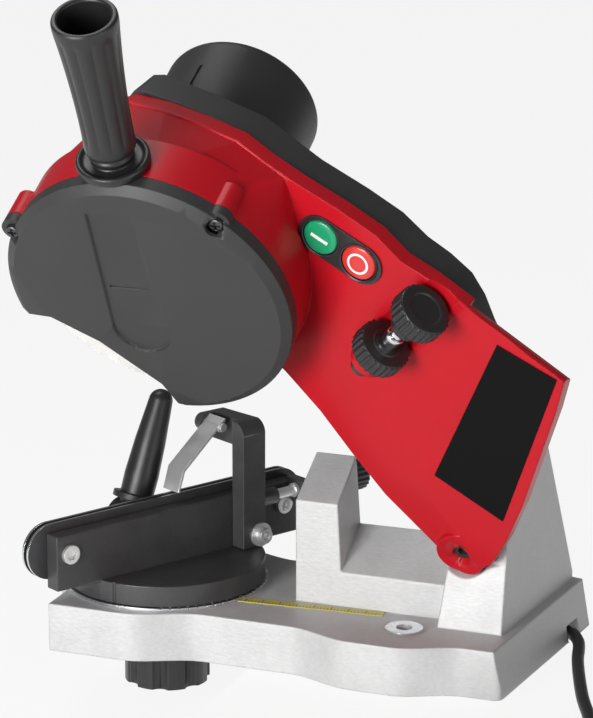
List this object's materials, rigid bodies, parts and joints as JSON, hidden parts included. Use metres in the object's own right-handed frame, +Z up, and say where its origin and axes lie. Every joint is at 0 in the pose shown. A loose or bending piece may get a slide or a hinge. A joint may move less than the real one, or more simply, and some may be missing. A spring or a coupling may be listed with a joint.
{
  "type": "electric chainsaw sharpener",
  "caption": "Bench-top chain grinder: cast base, turntable chain vise with stop, and a sprung swing head with a guarded grinding wheel.",
  "frame": {"origin": "centre of the bench bolt pattern on the base's underside", "axes": "+Z up, +X along the base towards the pivot end, +Y away from the user"},
  "size_m": [0.3556, 0.3702, 0.4174],
  "materials": {
    "cast_alloy": "as cast, lightly sanded",
    "vise_paint": "satin black enamel on cast iron",
    "machined_alloy": "machined",
    "rail_steel": "ground",
    "stop_paint": "satin black enamel",
    "bright_steel": "zinc plated",
    "dark_steel": "blackened",
    "screw_chrome": "bright",
    "strip": "printed plate, left bare",
    "red_shell": "fine-grained moulding",
    "grey_shell": "fine-grained moulding",
    "guard_shell": "satin moulding",
    "black_plastic": "satin",
    "switch_frame": "satin",
    "green_button": "gloss",
    "red_button": "gloss",
    "panel_film": "bare film",
    "abrasive": "white vitrified grit",
    "cord_jacket": "smooth",
    "plug_body": "moulded",
    "pin_metal": "nickel plated",
    "laminations": "varnished",
    "windings": "enamelled copper",
    "fan_nylon": "natural",
    "capacitor_can": "drawn",
    "bush_brass": "turned"
  },
  "bodies": {
    "base": {"base_casting": "cast_alloy", "scale_ring": "machined_alloy", "scale_strip": "strip", "pivot_bolt": "bright_steel", "pivot_nut": "bright_steel", "return_spring": "dark_steel", "cord_clamp": "black_plastic", "cord_gland": "cord_jacket", "mains_cord": "cord_jacket", "cord_coil": "cord_jacket", "mains_plug": "plug_body", "plug_pins": "pin_metal"},
    "head": {"front_housing": "red_shell", "rear_housing": "grey_shell", "motor_cover": "grey_shell", "stator": "laminations", "front_bearing": "bright_steel", "rear_bearing": "bright_steel", "guard_cover": "guard_shell", "guard_screws": "dark_steel", "handle_grip": "black_plastic", "handle_stud": "bright_steel", "switch_plate": "switch_frame", "switch_body": "black_plastic", "capacitor": "capacitor_can", "info_panel": "panel_film", "housing_screws": "dark_steel", "depth_bush": "bush_brass"},
    "spindle": {"spindle_shaft": "bright_steel", "rotor": "windings", "fan": "fan_nylon", "inner_flange": "bright_steel", "grinding_wheel": "abrasive", "outer_flange": "bright_steel", "spindle_nut": "dark_steel"},
    "start": {"start_button": "green_button"},
    "stop": {"stop_button": "red_button"},
    "depth_foot": {"depth_foot": "bright_steel"},
    "depth_screw": {"depth_screw": "screw_chrome", "depth_knob": "black_plastic"},
    "lock_nut": {"depth_lock_nut": "black_plastic"},
    "table": {"turntable": "vise_paint", "front_rail": "rail_steel", "jaw_screws": "bright_steel", "lever_stud": "bright_steel", "turntable_stud": "bright_steel"},
    "jaw": {"rear_jaw": "vise_paint", "rear_rail": "rail_steel"},
    "lever": {"clamp_lever": "black_plastic"},
    "knob": {"clamp_knob": "black_plastic"},
    "chain_stop": {"stop_bracket": "stop_paint", "stop_lock_screw": "bright_steel", "pawl_pin": "bright_steel"},
    "pawl": {"stop_pawl": "bright_steel"},
    "stop_rod": {"stop_rod": "bright_steel", "stop_knob": "black_plastic"}
  },
  "joints": [
    {"name": "head_swing", "type": "hinge", "parent": "base", "child": "head", "pos_m": [0.0295, -0.035, 0.072], "axis": [0, -0.866, -0.5], "range_deg": [0, 27], "stiffness_Nm_per_rad": 3.2, "springref_deg": -108.86},
    {"name": "spindle_spin", "type": "hinge", "parent": "head", "child": "spindle", "pos_m": [-0.1225, -0.09496, 0.22386], "axis": [0, 0.866, 0.5], "continuous": true},
    {"name": "start_press", "type": "slide", "parent": "head", "child": "start", "axis": [0.1706, 0.9399, 0.2957], "range_m": [0, 0.003], "stiffness_N_per_m": 400, "springref_m": -0.001},
    {"name": "stop_press", "type": "slide", "parent": "head", "child": "stop", "axis": [0.1706, 0.9399, 0.2957], "range_m": [0, 0.002], "stiffness_N_per_m": 400, "springref_m": -0.001},
    {"name": "depth_travel", "type": "slide", "parent": "head", "child": "depth_foot", "axis": [0.682, -0.3657, 0.6334], "range_m": [-0.006, 0.001]},
    {"name": "depth_turn", "type": "hinge", "parent": "depth_foot", "child": "depth_screw", "pos_m": [-0.0046, -0.08173, 0.19294], "axis": [0.682, -0.3657, 0.6334], "range_deg": [-1730, 290]},
    {"name": "lock_nut_turn", "type": "hinge", "parent": "head", "child": "lock_nut", "pos_m": [-0.0046, -0.08173, 0.19294], "axis": [0.682, -0.3657, 0.6334], "range_deg": [0, 180]},
    {"name": "turntable_turn", "type": "hinge", "parent": "base", "child": "table", "pos_m": [-0.156, -0.011, 0.028], "axis": [0, 0, 1], "range_deg": [-5.9, 64]},
    {"name": "clamp_knob_turn", "type": "hinge", "parent": "table", "child": "knob", "pos_m": [-0.156, -0.011, 0.028], "axis": [0, 0, 1], "range_deg": [0, 180]},
    {"name": "lever_clamp", "type": "hinge", "parent": "table", "child": "lever", "pos_m": [-0.18202, -0.00224, 0.058], "axis": [0.8738, -0.4863, 0], "range_deg": [0, 80]},
    {"name": "jaw_slide", "type": "slide", "parent": "table", "child": "jaw", "axis": [0.8738, -0.4863, 0], "range_m": [0, 0.0008]},
    {"name": "stop_rod_turn", "type": "hinge", "parent": "table", "child": "stop_rod", "pos_m": [-0.08245, 0.08311, 0.069], "axis": [0.4863, 0.8738, 0], "range_deg": [-2882, 2342]},
    {"name": "stop_slide", "type": "slide", "parent": "table", "child": "chain_stop", "axis": [0.4863, 0.8738, 0], "range_m": [-0.0065, 0.008]},
    {"name": "pawl_lift", "type": "hinge", "parent": "chain_stop", "child": "pawl", "pos_m": [-0.13849, 0.02046, 0.1125], "axis": [0.8738, -0.4863, 0], "range_deg": [-60, 0]}
  ],
  "couplings": [
    {"joint": "depth_turn", "follows": "depth_travel", "rad_per_m": 5026.5},
    {"joint": "lever_clamp", "follows": "jaw_slide", "rad_per_m": 1745},
    {"joint": "stop_rod_turn", "follows": "stop_slide", "rad_per_m": -6283.2}
  ]
}
